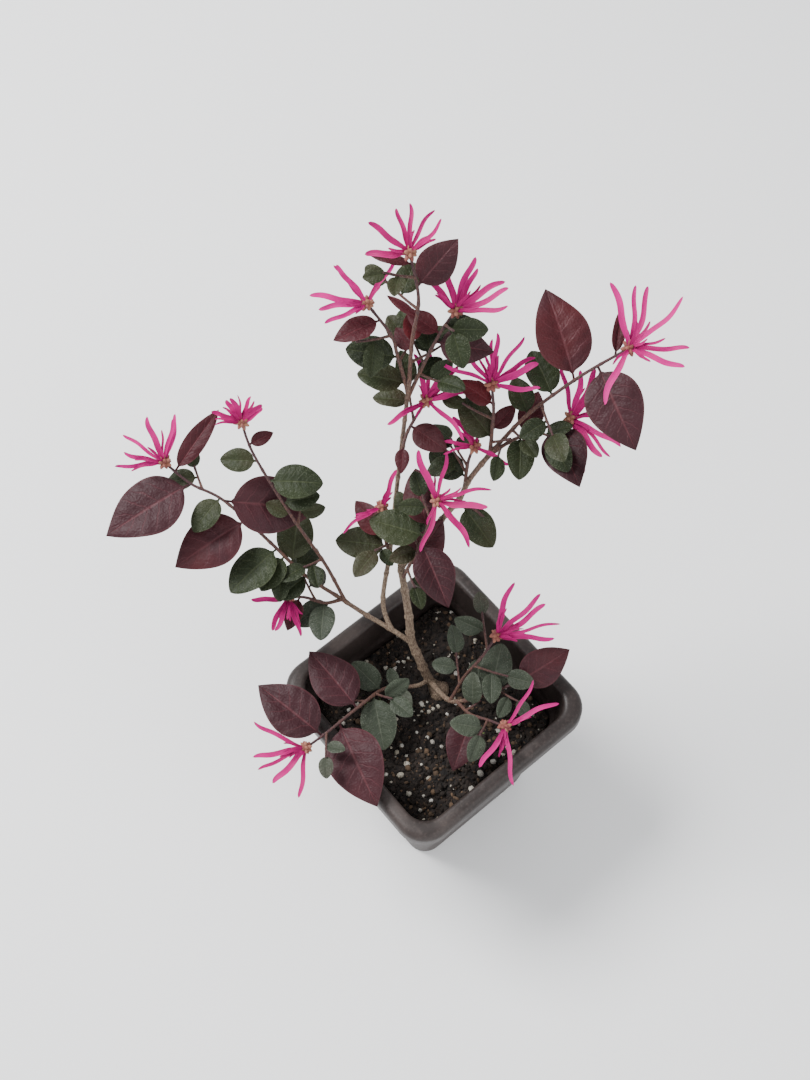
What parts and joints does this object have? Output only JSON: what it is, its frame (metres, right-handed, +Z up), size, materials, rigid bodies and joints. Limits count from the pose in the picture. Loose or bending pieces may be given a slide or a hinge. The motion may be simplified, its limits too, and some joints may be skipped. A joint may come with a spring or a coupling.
{
  "type": "potted chinese fringe flower",
  "caption": "Young purple-leaved fringe flower shrub with pink strap-petal blossom, growing in a square plastic nursery pot filled with soil.",
  "frame": {"origin": "centre of the pot's flat underside", "axes": "+Z up, the pot's sides along X and Y, the pictured corner of the pot towards +X and -Y"},
  "size_m": [0.1744, 0.1781, 0.2702],
  "materials": {
    "pot_plastic": "dusty dark brown moulded plastic",
    "peat_soil": "moist crumbly peat with pale perlite grains",
    "bark": "fine brown bark",
    "plum_leaf": "matt plum leaf with pressed veins",
    "green_leaf": "matt grey-green leaf with pale specks",
    "blossom": "satin hot pink strap petals"
  },
  "bodies": {
    "root": {"pot": "pot_plastic", "soil": "peat_soil", "trunk": "bark", "bough_right": "bark", "bough_left": "bark", "bough_back": "bark", "bough_low_left": "bark", "bough_low_right": "bark", "spray_low_left": "plum_leaf", "spray_low_right": "green_leaf", "spray_low_front": "plum_leaf", "spray_low_back": "blossom", "spray_left_tip": "plum_leaf", "spray_left_low": "green_leaf", "spray_left_high": "green_leaf", "spray_back_low": "green_leaf", "spray_back_middle": "plum_leaf", "spray_top_left": "green_leaf", "spray_top": "plum_leaf", "spray_top_right": "plum_leaf", "spray_centre": "plum_leaf", "spray_right_inner": "green_leaf", "spray_right_under": "green_leaf", "spray_right_low": "plum_leaf", "spray_right_tip": "plum_leaf", "spray_right_back": "plum_leaf"}
  },
  "joints": []
}
